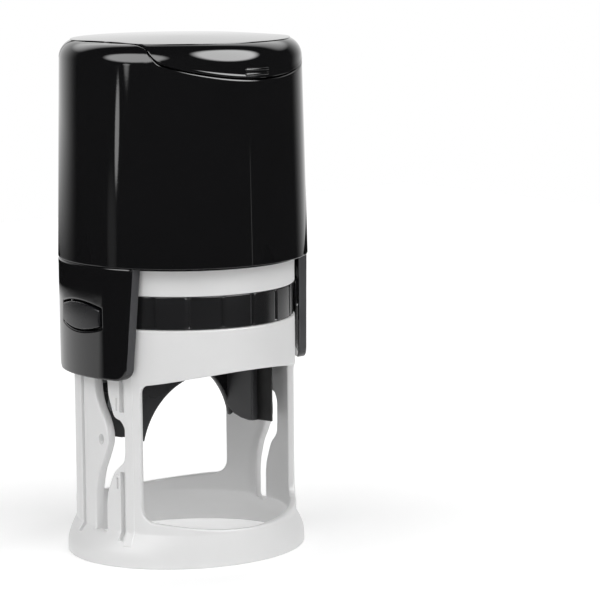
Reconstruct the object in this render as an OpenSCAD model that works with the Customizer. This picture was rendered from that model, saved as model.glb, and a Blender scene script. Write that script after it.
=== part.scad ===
// Round self-inking stamp: pressing the cap turns the die over and lowers it to the paper.
// Millimetres, +Z up, front at -Y, origin at the middle of the foot's underside.

/* [Base frame] */
// Outer radius of the frame tube
frame_r = 22.9; // [22:0.1:24]
// Wall of the frame tube
frame_wall = 1.5; // [1.3:0.1:1.8]
// Height of the frame's wall above the ink tray
upper_wall = 7.2; // [6.8:0.1:8.5]
// Flare of the foot at the sides
foot_flare_x = 3.1; // [2.1:0.1:4.6]
// Flare of the foot at the front and rear
foot_flare_y = 0.6; // [0.4:0.1:1.6]
// Height of the upright edge round the foot
foot_edge = 2.2; // [1:0.1:4]
// Height of the sill under the front and rear windows
sill_z = 8.6; // [7.5:0.1:9.5]
// Height of the wall between the windows and the ink tray
skirt_h = 9; // [7.5:0.1:11]
// Half width of the columns from front to rear
column_half = 12; // [10:0.1:12.2]
// Radius of the shallow arch over the windows
crown_r = 77; // [60:1:120]
// Radius of the window's lower corners
window_corner = 3; // [1:0.5:5]

/* [Cam slots] */
// Width of the cam slot in each column
slot_w = 3; // [2:0.1:4]
// Height of the lower end of the slot
slot_low = 3.2; // [2.5:0.1:6]
// Height of the middle of the bulge
slot_bulge_z = 25.5; // [22:0.5:28]
// Distance of the straight runs in front of the middle
slot_run_y = 1.2; // [0:0.1:3]
// Distance of the bulge in front of the middle
slot_bulge_y = 5.6; // [4:0.1:7]

/* [Mechanism] */
// Travel of the cap when it is pressed
travel = 30; // [27:0.5:31]
// Distance from the axle to the face of the die
die_reach = 8.5; // [8:0.1:9.5]
// Radius of the axle pins
pin_r = 1.5; // [1:0.1:2]
// Width of the yoke's arms
arm_w = 7; // [6:0.1:8]
// Thickness of the yoke's arms
arm_t = 1.5; // [1.2:0.1:1.6]
// Radial clearance of the axle pins
fit = 0.05; // [0.02:0.01:0.1]
// Clearance between parts that pass each other
gap = 0.3; // [0.2:0.05:0.4]

/* [Ink pad tray] */
// Height of the tray's band
tray_h = 6.9; // [6.5:0.1:7.5]
// Side wall of the tray
tray_wall = 0.8; // [0.7:0.1:1.2]
// Angle between the grooves on the band
flute_step = 17; // [12:1:20]
// Width of each groove
flute_w = 1.1; // [0.6:0.1:2]

/* [Cap] */
// Clearance between the frame and the cap's sleeve
sleeve_gap = 0.5; // [0.3:0.05:0.8]
// Thickness of the legs, down from the cap's rim
leg_t = 2.75; // [2.5:0.05:3.5]
// Taper of the cap's radius from the rim to the shoulder
cap_taper = 1.15; // [0.4:0.05:1.6]
// Wall of the cap
cap_wall = 1.6; // [1.4:0.1:1.8]
// How far the rim reaches down over the frame's top
rim_lap = 1.2; // [0.5:0.1:2]
// Height of the space between the cap's ceiling and its top
head_room = 10.5; // [10:0.1:14]
// Radius of the shoulder
shoulder_r = 4; // [2:0.1:5]
// Length of the legs
leg_l = 23.3; // [20:0.1:25]
// Half width of the legs
leg_half = 11.9; // [10.5:0.1:13]
// Radius of the legs' lower corners
leg_corner = 2.6; // [1.5:0.1:5]

/* [Lid and buttons] */
// Half width of the lid's tongue
lid_half = 18.8; // [15:0.1:20]
// Lowest point of the tongue's edge under the cap's top
lid_drop = 8; // [7:0.1:8.2]
// Radius of the tongue's curved edge
lid_arc = 52; // [45:1:80]
// Half width of the lock buttons
button_half = 6.9; // [5:0.1:8]
// Distance of the middle of the buttons behind the middle of the legs
button_y = 1.3; // [-2:0.1:2]
// Height of the lock buttons at the middle
button_h = 5.6; // [4:0.1:7]
// Distance of the middle of the buttons below the rim
button_drop = 10.7; // [8:0.1:12.5]
// Travel of the lock buttons
button_travel = 0.9; // [0.5:0.1:1.0]

/* [Hidden] */
$fn = 96;
eps = 0.01;
far = 80;

white = "#e9e9e7";
black = "#141416";
steel = "#b8bcc0";

over = 1;

// frame and yoke
foot_x = frame_r + foot_flare_x;
foot_y = frame_r + foot_flare_y;
bore_r = frame_r - frame_wall;
arm_out = sqrt(bore_r * bore_r - arm_w * arm_w / 4) - gap;
arm_in = arm_out - arm_t;
axle_z = die_reach + travel;
deck_t = 1.5;
well_floor = 1.2;
well_r = 7.6;
well_wall = 1.4;

// tray, pad and die share the width between the arms
pad_play = 0.2;
cheek_inset = 0.8;
tray_half = arm_in - gap;
die_r = tray_half - tray_wall - pad_play;
cheek_x = die_r - cheek_inset;
edge_r = sqrt(die_r * die_r + die_reach * die_reach);
edge_turn = atan(die_reach / die_r);
peak_turn = acos(travel / PI / edge_r) - edge_turn;
peak_z = axle_z - travel * peak_turn / 180 + edge_r * sin(peak_turn + edge_turn);
pad_clear = 0.45;
pad_inset = 1;
pad_z = peak_z + pad_clear;
tray_z = pad_z - pad_inset;
tray_top = tray_z + tray_h;
tray_floor = 1.5;
tray_front = 1.2;
tray_play = 0.5;
tray_side = 0.25;
tray_r = bore_r - tray_play;
band_play = 0.06;
flute_set = 0.1;
crown_z = tray_z - skirt_h;
frame_h = tray_top + upper_wall;
deck_z = frame_h + deck_t;

// die holder, from the axle up to the die's face
face_z = axle_z + die_reach;
relief_h = 0.9;
rubber_t = 1.5;
cushion_t = 1.5;
holder_t = 2.6;
die_base_z = face_z - relief_h - rubber_t;
cushion_z = die_base_z - cushion_t;
plate_z = cushion_z - holder_t;
holder_inset = 0.4;
cushion_inset = 0.5;
cheek_half = 7;
cheek_drop = 13.5;
cheek_t = 3.2;
cheek_round = 3;
cheek_low = axle_z - cheek_drop;
cheek_mid = cheek_low + cheek_round;
arch_roof = 1.8;
arch_r = cheek_x - cheek_t;
arch_z = plate_z - arch_roof - arch_r;
guide_r = 1.4;
guide_drop = 6.2;
guide_depth = 2;
guide_z = axle_z - guide_drop;

// cap interior, with room for the whole travel under its ceiling
ceiling_t = 2;
bar_t = 1.9;
bar_half = 10;
press_gap = 0.6;
ceiling_z = deck_z + travel + press_gap + bar_t;
bar_z = ceiling_z - bar_t;
cap_z = ceiling_z + head_room;
rim_z = frame_h - rim_lap;
boss_r = 16;
boss_drop = 4;
boss_top = 0.9;
boss_z = cap_z - boss_drop;
pocket_r = 8;
cup_z = boss_z - boss_top;
cup_t = 1;
cup_lip = 2;
card_t = 0.3;
card_margin = 0.6;
lid_edge = 1;
lid_side_z = cap_z - lid_edge;
lid_low = cap_z - lid_drop;
seam = 0.15;
well_clear = 2.2;
well_z = tray_top + well_clear;

// sleeve, legs and buttons stand off the frame
sleeve_in = frame_r + sleeve_gap;
sleeve_t = 0.75;
sleeve_l = 7.5;
sleeve_root = 0.6;
sleeve_top = rim_z + sleeve_l;
cap_r = sleeve_in + leg_t;
cap_top_r = cap_r - cap_taper;
leg_wall = 2.2;
leg_in = cap_r - leg_wall;
leg_z = rim_z - leg_l;
button_z = rim_z - button_drop;
button_gap = 0.25;
button_back = 0.1;
button_in = sleeve_in + button_travel + button_back;

// return spring
spring_low = well_z + well_floor;
spring_high = cup_z - cup_t;
spring_r = 5.2;
wire_r = 0.6;
spring_turns = 8;
rings = 8;
sides = 6;
spring_rise = (spring_high - spring_low - 2 * wire_r) / spring_turns;
echo(least_self_gap = spring_rise * cos(atan(spring_rise / (2 * PI * spring_r))) - 2 * wire_r);

// points of a round corner from one angle to another
function corner(x, z, r, from, to, n = 8) =
    [for (i = [0:n]) let (a = from + (to - from) * i / n) [x + r * cos(a), z + r * sin(a)]];

// half outline of the cap, drawn in by an even wall, with a slightly domed top
top_fall = 0.4;
inner_round = 0.6;
function cap_half(wall) = let (r = shoulder_r - wall * inner_round, z = cap_z - top_fall - wall - r)
    concat([[0, rim_z], [cap_r - wall, rim_z]], corner(cap_top_r - wall - r, z, r, 0, 90),
    [[cap_top_r / 2, cap_z - top_fall / 4 - wall], [0, cap_z - wall]]);

// ring between two radii and two heights
module ring(r_in, r_out, low, high) {
    difference() {
        translate([0, 0, low]) cylinder(r = r_out, h = high - low);
        translate([0, 0, low - over]) cylinder(r = r_in, h = high - low + 2 * over);
    }
}

// block centred on X and Y
module block(x, y, low, high) {
    translate([-x / 2, -y / 2, low]) cube([x, y, high - low]);
}

// outline in X and Z, carried through from front to rear
module through_y(depth = far) {
    rotate([90, 0, 0]) linear_extrude(height = depth, center = true) children();
}

// outline in Y and Z, carried through from side to side
module through_x(from, to) {
    translate([from, 0, 0]) rotate([90, 0, 90]) linear_extrude(height = to - from) children();
}

// tube and flared foot in one turn, with a foot that is longer from side to side
foot_arc = 32;
flare_drop = 1.2;
flare_z = sill_z - flare_drop;
module tube_and_foot() {
    intersection() {
        rotate_extrude() polygon([[bore_r, 0], [foot_x, 0], [foot_x, foot_edge], [frame_r, flare_z],
            [frame_r, frame_h], [bore_r, frame_h]]);
        translate([0, foot_arc - foot_y, -over]) cylinder(r = foot_arc, h = far);
        translate([0, foot_y - foot_arc, -over]) cylinder(r = foot_arc, h = far);
    }
}

// side outline of the space in front of the columns, with a round corner at the sill
module window_side() {
    difference() {
        translate([column_half, sill_z]) square([far, far]);
        difference() {
            translate([column_half - over, sill_z - over]) square((window_corner + over) * [1, 1]);
            translate([column_half + window_corner, sill_z + window_corner]) circle(r = window_corner);
        }
    }
}

// front and rear windows under a shallow arch
module windows() {
    intersection() {
        through_x(-far, far) union() {
            window_side();
            mirror([1, 0]) window_side();
        }
        through_y(2 * far) translate([0, crown_z - crown_r]) circle(r = crown_r);
    }
}

// cam slot: straight at both ends, with a bulge towards the front
slot_steps = 24;
slot_span = 11;
slot_over = 4;
slot_high = crown_z + slot_over;
function slot_y(z) = let (t = min(1, abs(z - slot_bulge_z) / slot_span))
    -slot_run_y - (slot_bulge_y - slot_run_y) * (1 + cos(180 * t)) / 2;
module cam_slot() {
    heights = [for (i = [0:slot_steps]) slot_bulge_z - slot_span + 2 * slot_span * i / slot_steps];
    zs = concat([slot_low], heights, [slot_high]);
    through_x(-far, far) polygon(concat([for (z = zs) [slot_y(z) - slot_w / 2, z]],
        [for (i = [len(zs) - 1:-1:0]) [slot_y(zs[i]) + slot_w / 2, zs[i]]]));
}

// shallow upright grooves that divide each column into a middle and two flanges
groove_w = 0.7;
groove_d = 0.4;
groove_at = [17, -22];
groove_z = sill_z + 1;
module column_grooves() {
    for (side = [0, 180], a = groove_at)
        rotate([0, 0, side + (side == 0 ? a : -a)])
            translate([frame_r - groove_d, -groove_w / 2, groove_z])
                cube([2 * over, groove_w, leg_z - groove_z]);
}

module base_frame() {
    color(white) difference() {
        tube_and_foot();
        windows();
        cam_slot();
        column_grooves();
        translate([-tray_half - tray_side, -far, tray_z]) cube([2 * (tray_half + tray_side), far, tray_h]);
    }
}

module deck_plate() {
    color(white) difference() {
        union() {
            translate([0, 0, frame_h]) cylinder(r = frame_r, h = deck_t);
            translate([0, 0, well_z]) cylinder(r = well_r + well_wall, h = deck_z - well_z);
        }
        translate([0, 0, well_z + well_floor]) cylinder(r = well_r, h = far);
        for (s = [-1, 1])
            translate([s * (arm_in + arm_out) / 2, 0, 0])
                block(arm_t + 2 * gap, arm_w + 2 * gap, frame_h - over, deck_z + over);
    }
}

// part of the cap that belongs to the lid: its top disc and a tongue at the front and the rear
module lid_zone(grow) {
    through_y() union() {
        intersection() {
            translate([-lid_half - grow, lid_low - grow]) square([2 * (lid_half + grow), far]);
            translate([0, lid_low + lid_arc]) circle(r = lid_arc + grow);
        }
        translate([-far / 2, lid_side_z - grow]) square([far, far]);
    }
}

module cap_shell() {
    color(black) difference() {
        union() {
            difference() {
                rotate_extrude() polygon(cap_half(0));
                translate([0, 0, -eps]) rotate_extrude() polygon(cap_half(cap_wall));
                lid_zone(seam);
            }
            translate([0, 0, ceiling_z]) cylinder(r = cap_top_r - cap_wall / 2, h = ceiling_t);
            translate([0, 0, ceiling_z]) cylinder(r = boss_r, h = boss_z - ceiling_z);
        }
        translate([0, 0, ceiling_z - over]) cylinder(r = pocket_r, h = cup_z - ceiling_z + over);
    }
}

// leg outline with round lower corners
module leg_outline() {
    translate([-leg_half, leg_z + leg_corner]) square([2 * leg_half, rim_z - leg_z - leg_corner]);
    translate([leg_corner - leg_half, leg_z]) square([2 * (leg_half - leg_corner), rim_z - leg_z]);
    for (s = [-1, 1])
        translate([s * (leg_half - leg_corner), leg_z + leg_corner]) circle(r = leg_corner);
}

// lens outline of a lock button with blunt ends
button_sag = 1.1;
button_arc = (button_half * button_half + button_sag * button_sag) / (2 * button_sag);
module button_outline(grow) {
    translate([button_y, button_z]) intersection() {
        square([2 * (button_half + grow), button_h + 2 * grow], center = true);
        for (s = [-1, 1])
            translate([0, s * (button_arc - button_h / 2)]) circle(r = button_arc + grow);
    }
}

module cap_sleeve() {
    color(black) union() {
        ring(sleeve_in, sleeve_in + sleeve_t, rim_z - sleeve_root, sleeve_top);
        difference() {
            intersection() {
                ring(leg_in, cap_r, leg_z, rim_z);
                through_x(-far, far) leg_outline();
            }
            through_x(-far, far) button_outline(button_gap);
        }
    }
}

module drive_yoke() {
    color(black) difference() {
        union() {
            block(2 * arm_out, 2 * bar_half, bar_z, ceiling_z);
            for (s = [-1, 1]) {
                translate([s * (arm_in + arm_out) / 2, 0, 0]) block(arm_t, arm_w, axle_z, ceiling_z);
                translate([s * (arm_in + arm_out) / 2, 0, axle_z]) rotate([0, 90, 0])
                    cylinder(d = arm_w, h = arm_t, center = true);
            }
        }
        translate([0, 0, bar_z - over]) cylinder(r = pocket_r, h = far);
        translate([-far / 2, 0, axle_z]) rotate([0, 90, 0]) cylinder(r = pin_r, h = far);
    }
}

// axle pin, fixed in one arm of the yoke and running in the holder's cheek
pin_depth = 2.6;
module axle_pin(side) {
    color(steel) translate([side > 0 ? cheek_x - pin_depth : -arm_out, 0, axle_z])
        rotate([0, 90, 0]) cylinder(r = pin_r, h = arm_out - cheek_x + pin_depth);
}
module axle_pin_left() { axle_pin(-1); }
module axle_pin_right() { axle_pin(1); }

module spring_cup() {
    color(black) difference() {
        translate([0, 0, cup_z - cup_t - cup_lip]) cylinder(r = pocket_r - fit, h = cup_t + cup_lip);
        translate([0, 0, cup_z - cup_t - cup_lip - over])
            cylinder(r = spring_r + wire_r + gap, h = cup_lip + over);
    }
}

// two low ribs on the front of the lid, for a fingernail
grip_x = 1.5;
grip_l = 6;
grip_t = 0.5;
grip_drops = [5.8, 6.8];
grip_proud = 0.15;
module lid_grips() {
    for (drop = grip_drops)
        translate([grip_x - grip_l / 2, -cap_top_r - grip_proud, cap_z - drop])
            cube([grip_l, cap_wall, grip_t]);
}

module cap_lid() {
    color(black) union() {
        difference() {
            intersection() {
                rotate_extrude() polygon(cap_half(0));
                lid_zone(0);
            }
            translate([0, 0, -eps]) rotate_extrude() polygon(cap_half(cap_wall));
        }
        lid_grips();
    }
}

module index_card() {
    color("#f4f2ea") translate([0, 0, boss_z]) cylinder(r = boss_r - card_margin, h = card_t);
}

// lock button in a leg's opening, with its travel free behind it
button_proud = 0.25;
module lock_button(side) {
    color(black) intersection() {
        ring(button_in, cap_r + button_proud, leg_z, rim_z);
        through_x(side > 0 ? 0 : -far, side > 0 ? far : 0) button_outline(0);
    }
}
module lock_button_left() { lock_button(-1); }
module lock_button_right() { lock_button(1); }

module die_holder() {
    color(black) difference() {
        union() {
            translate([0, 0, plate_z]) cylinder(r = die_r - holder_inset, h = holder_t);
            block(2 * cheek_x, 2 * cheek_half, cheek_mid, plate_z + eps);
            for (s = [-1, 1])
                translate([s * (cheek_x + arch_r) / 2, 0, 0])
                    block(cheek_t, 2 * (cheek_half - cheek_round), cheek_low, plate_z);
            for (s = [-1, 1], t = [-1, 1])
                translate([s * (cheek_x + arch_r) / 2, t * (cheek_half - cheek_round), cheek_mid])
                    rotate([0, 90, 0]) cylinder(r = cheek_round, h = cheek_t, center = true);
        }
        translate([0, 0, arch_z]) rotate([90, 0, 0]) cylinder(r = arch_r, h = far, center = true);
        translate([-arch_r, -far / 2, 0]) cube([2 * arch_r, far, arch_z]);
        for (s = [0, 180])
            rotate([0, 0, s]) translate([cheek_x - pin_depth - gap, 0, axle_z])
                rotate([0, 90, 0]) cylinder(r = pin_r + fit, h = far);
        for (s = [0, 180])
            rotate([0, 0, s]) translate([cheek_x - guide_depth, 0, guide_z])
                rotate([0, 90, 0]) cylinder(r = guide_r, h = far);
    }
}

// guide pin that follows the cam slot, short of the column's wall
module guide_pin(side) {
    color(steel) translate([side > 0 ? cheek_x - guide_depth : gap - arm_in, 0, guide_z])
        rotate([0, 90, 0]) cylinder(r = guide_r, h = arm_in - gap - cheek_x + guide_depth);
}
module guide_pin_left() { guide_pin(-1); }
module guide_pin_right() { guide_pin(1); }

module die_cushion() {
    color("#5a5d61") translate([0, 0, cushion_z]) cylinder(r = die_r - cushion_inset, h = cushion_t);
}

// rubber die with a plain border of ticks and rings
tick_step = 6;
tick_w = 0.6;
tick_from = 0.78;
tick_long = 0.14;
line_w = 0.5;
line_radii = [die_r - line_w / 2, die_r * 0.62];
module die_plate() {
    color("#7c3b34") union() {
        translate([0, 0, die_base_z]) cylinder(r = die_r, h = rubber_t);
        for (r = line_radii)
            ring(r - line_w, r, die_base_z + rubber_t - eps, face_z);
        for (a = [0:tick_step:359])
            rotate([0, 0, a]) translate([die_r * tick_from, -tick_w / 2, die_base_z + rubber_t - eps])
                cube([die_r * tick_long, tick_w, relief_h + eps]);
    }
}

// tray outline seen from above, clear of the arms at both sides
module tray_body(r, half, low, high) {
    intersection() {
        translate([0, 0, low]) cylinder(r = r, h = high - low);
        block(2 * half, far, low, high);
    }
}

module pad_tray() {
    low = tray_z + band_play;
    high = tray_top - band_play;
    color(black) difference() {
        union() {
            tray_body(tray_r, tray_half, low, high);
            intersection() {
                ring(tray_r - over, frame_r, low, high);
                translate([-tray_half, -far, low]) cube([2 * tray_half, far - bore_r / 2, high - low]);
            }
        }
        tray_body(tray_r - tray_front, tray_half - tray_wall, low - over, high - tray_floor);
        for (a = [-3:3])
            rotate([0, 0, a * flute_step]) translate([0, -frame_r - flute_set, low - over])
                cylinder(d = flute_w, h = far);
    }
}

module ink_pad() {
    color("#2b2b33") tray_body(tray_r - tray_front - pad_play, tray_half - tray_wall - pad_play, pad_z,
        tray_top - band_play - tray_floor);
}

// return spring, one wire wound in an open helix
function wire_at(t) = let (a = 360 * spring_turns * t)
    [spring_r * cos(a), spring_r * sin(a), spring_low + wire_r + (spring_high - spring_low - 2 * wire_r) * t];
module return_spring() {
    n = spring_turns * rings;
    points = [for (i = [0:n], k = [0:sides - 1]) let (a = 360 * spring_turns * i / n, b = 360 * k / sides)
        wire_at(i / n) + wire_r * [cos(b) * cos(a), cos(b) * sin(a), sin(b)]];
    skin = [for (i = [0:n - 1], k = [0:sides - 1]) let (j = (k + 1) % sides, p = i * sides)
        [p + k, p + sides + k, p + sides + j, p + j]];
    caps = [[for (k = [0:sides - 1]) k], [for (k = [0:sides - 1]) n * sides + sides - 1 - k]];
    color(steel) polyhedron(points = points, faces = concat(skin, caps), convexity = 10);
}

base_frame();
deck_plate();
cap_shell();
cap_sleeve();
drive_yoke();
axle_pin_left();
axle_pin_right();
spring_cup();
cap_lid();
index_card();
lock_button_left();
lock_button_right();
die_holder();
guide_pin_left();
guide_pin_right();
die_cushion();
die_plate();
pad_tray();
ink_pad();
return_spring();
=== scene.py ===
import math
import bmesh
import bpy
import numpy as np
from mathutils import Matrix, Vector
from mathutils.geometry import delaunay_2d_cdt


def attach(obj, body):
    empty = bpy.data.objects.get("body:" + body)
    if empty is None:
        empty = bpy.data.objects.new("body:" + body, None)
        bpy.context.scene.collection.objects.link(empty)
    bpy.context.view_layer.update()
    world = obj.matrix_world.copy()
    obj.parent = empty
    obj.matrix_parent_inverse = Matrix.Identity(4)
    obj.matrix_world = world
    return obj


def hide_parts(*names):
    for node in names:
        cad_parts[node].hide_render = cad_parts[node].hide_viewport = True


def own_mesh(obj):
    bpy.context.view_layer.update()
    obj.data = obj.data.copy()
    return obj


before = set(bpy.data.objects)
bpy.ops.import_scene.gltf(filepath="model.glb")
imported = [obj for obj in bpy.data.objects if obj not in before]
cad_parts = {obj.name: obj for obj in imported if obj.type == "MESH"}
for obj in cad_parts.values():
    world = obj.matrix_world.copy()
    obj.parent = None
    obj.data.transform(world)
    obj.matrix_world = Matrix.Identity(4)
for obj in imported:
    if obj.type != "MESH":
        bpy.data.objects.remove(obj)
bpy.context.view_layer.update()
print("frame loaded:", len(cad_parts), "nodes")

mm = 0.001
tiny = 1e-9  # keeps divisions safe
samePoint = 1e-6  # mm
roundTurns = np.radians([0, 30, 60, 90])  # rows of a quarter round
bothSides = ((-1, "Left"), (1, "Right"))


# helpers for meshes; sizes are in mm until meshPiece

def smoothStep(t):  # 0 below 0, 1 above 1, with level ends
    t = np.clip(t, 0.0, 1.0)
    return t * t * (3.0 - 2.0 * t)


def through(points, count):
    # cubic pieces from point to point, with slopes taken from the neighbours, spread evenly over the chords
    p = np.asarray(points, float)
    k = np.concatenate([[0], np.cumsum(np.hypot(*np.diff(p, axis=0).T))])
    slope = np.gradient(p, k, axis=0)
    t = np.linspace(0, k[-1], count)
    i = np.clip(np.searchsorted(k, t, "right") - 1, 0, len(k) - 2)
    h = (k[i + 1] - k[i])[:, None]
    q = ((t - k[i])[:, None]) / h
    return ((2 * q**3 - 3 * q**2 + 1) * p[i] + (q**3 - 2 * q**2 + q) * h * slope[i]
            + (3 * q**2 - 2 * q**3) * p[i + 1] + (q**3 - q**2) * h * slope[i + 1])


def even(points, step):
    # the same closed line with its edges cut into equal lengths of at most the step, corners kept
    p = np.asarray(points, float)
    q = np.vstack([p, p[:1]])
    seg = np.hypot(*np.diff(q, axis=0).T)
    cuts = np.maximum(1, np.ceil(seg / step).astype(int))
    at = np.repeat(np.arange(len(seg)), cuts)
    f = (np.arange(len(at)) - np.repeat(np.cumsum(cuts) - cuts, cuts)) / cuts[at]
    return q[at] + (q[at + 1] - q[at]) * f[:, None]


def rounded(corners, radii, perTurn=10):
    # closed outline with an arc of the given radius in each corner
    p = np.asarray(corners, float)
    r = np.broadcast_to(np.asarray(radii, float), (len(p),))
    back = np.roll(p, 1, 0) - p
    ahead = np.roll(p, -1, 0) - p
    back /= np.linalg.norm(back, axis=1)[:, None]
    ahead /= np.linalg.norm(ahead, axis=1)[:, None]
    half = np.arccos(np.clip((back * ahead).sum(1), -1, 1)) / 2
    reach = r / np.maximum(np.tan(half), tiny)
    t = np.linspace(0, 1, perTurn)[None, :, None]
    a = p + back * reach[:, None]
    b = p + ahead * reach[:, None]
    mid = (back + ahead) / np.maximum(np.linalg.norm(back + ahead, axis=1), tiny)[:, None]
    centre = p + mid * (r / np.maximum(np.sin(half), tiny))[:, None]
    line = a[:, None] * (1 - t) + b[:, None] * t - centre[:, None]
    size = np.linalg.norm(line, axis=2, keepdims=True)
    arc = centre[:, None] + line * np.where(size > tiny, r[:, None, None] / np.maximum(size, tiny), 0)
    flat = arc.reshape(-1, 2)
    return flat[np.hypot(*(flat - np.roll(flat, 1, 0)).T) > samePoint]


def box(u, v, radii, perTurn, step):
    # rectangle from two ranges, with rounds in its corners
    (u0, u1), (v0, v1) = u, v
    return even(rounded([(u0, v0), (u1, v0), (u1, v1), (u0, v1)], radii, perTurn), step)


def turn(loop, positive=True):
    # closed loop in the wanted sense, from the sign of its area
    area = (loop[:, 0] * np.roll(loop[:, 1], -1) - loop[:, 1] * np.roll(loop[:, 0], -1)).sum()
    return loop if (area > 0) == positive else loop[::-1]


def inset(loop, d):
    # each point moves to the left of its path by d, along the mitre of its two edges, kept under twice d
    e = np.roll(loop, -1, 0) - loop
    n = np.stack([-e[:, 1], e[:, 0]], 1)
    n /= np.maximum(np.linalg.norm(n, axis=1), tiny)[:, None]
    m = n + np.roll(n, 1, 0)
    return loop + m / np.maximum((m * m).sum(1) / 2, 0.5)[:, None] * d


def within(points, loop):
    # even-odd count of the loop's edges to the right of each point
    a, b = loop, np.roll(loop, -1, 0)
    y = points[:, 1, None]
    span = (a[:, 1] > y) != (b[:, 1] > y)
    rise = np.where(np.abs(b[:, 1] - a[:, 1]) < tiny, tiny, b[:, 1] - a[:, 1])
    hit = points[:, 0, None] < (b[:, 0] - a[:, 0]) * (y - a[:, 1]) / rise + a[:, 0]
    return (span & hit).sum(1) % 2 == 1


weld = {"join": 2e-6, "drop": 1e-7, "sharp": 38}  # metres, metres, degrees


def meshPiece(name, shape, body, slot, replaces=(), finish=None, sharp=weld["sharp"]):
    # one closed mesh in metres: doubles merged, faces outwards, smooth up to the sharp angle
    points, faces = shape
    mesh = bpy.data.meshes.new(name)
    mesh.from_pydata((np.asarray(points) * mm).tolist(), [], faces)
    work = bmesh.new()
    work.from_mesh(mesh)
    bmesh.ops.remove_doubles(work, verts=work.verts, dist=weld["join"])
    bmesh.ops.dissolve_degenerate(work, edges=work.edges, dist=weld["drop"])
    bmesh.ops.recalc_face_normals(work, faces=work.faces)
    work.to_mesh(mesh)
    work.free()
    mesh.shade_smooth()
    mesh.set_sharp_from_angle(angle=math.radians(sharp))
    piece = bpy.data.objects.new(name, mesh)
    bpy.context.scene.collection.objects.link(piece)
    mesh.materials.append(finishes[finish or slot])
    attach(piece, body)
    if replaces:
        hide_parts(*replaces)
    return piece


def gridFaces(rows, cols, closeRows=False, skip=()):
    # quads of a grid of rows by cols points, numbered row by row; each row closes on itself
    i = np.arange(rows if closeRows else rows - 1)
    i = i[~np.isin(i, skip)][:, None]
    j = np.arange(cols)[None, :]
    low, high, beside = i * cols, (i + 1) % rows * cols, (j + 1) % cols
    return np.stack([low + j, low + beside, high + beside, high + j], -1).reshape(-1, 4).tolist()


def turned(r, z, angles):
    # profile rows r, z carried round the Z axis: x = r sin a, y = -r cos a
    r, z = np.broadcast_arrays(np.asarray(r, float), np.asarray(z, float))
    return np.stack([r * np.sin(angles), -r * np.cos(angles), z], -1).reshape(-1, 3)


def flatAt(axis, at, sign):
    # plane across an axis (0 x, 1 y, 2 z) at a place, with the drop d along that axis
    return lambda u, v, d: np.insert(np.stack([u, v], 1), axis, at + sign * d, axis=1)


# where a rim's last line and a ring's grid start, in edges; room that the grid leaves round lines, in steps;
# how near to a ring's end a point lies on it, distances worked out at a time, the triangulation's tolerance
layout = {"flatFrom": 1.3, "gridFrom": 1.6, "clear": 0.45, "onEnd": 1e-3, "batch": 4000000, "snap": 1e-7}


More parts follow.
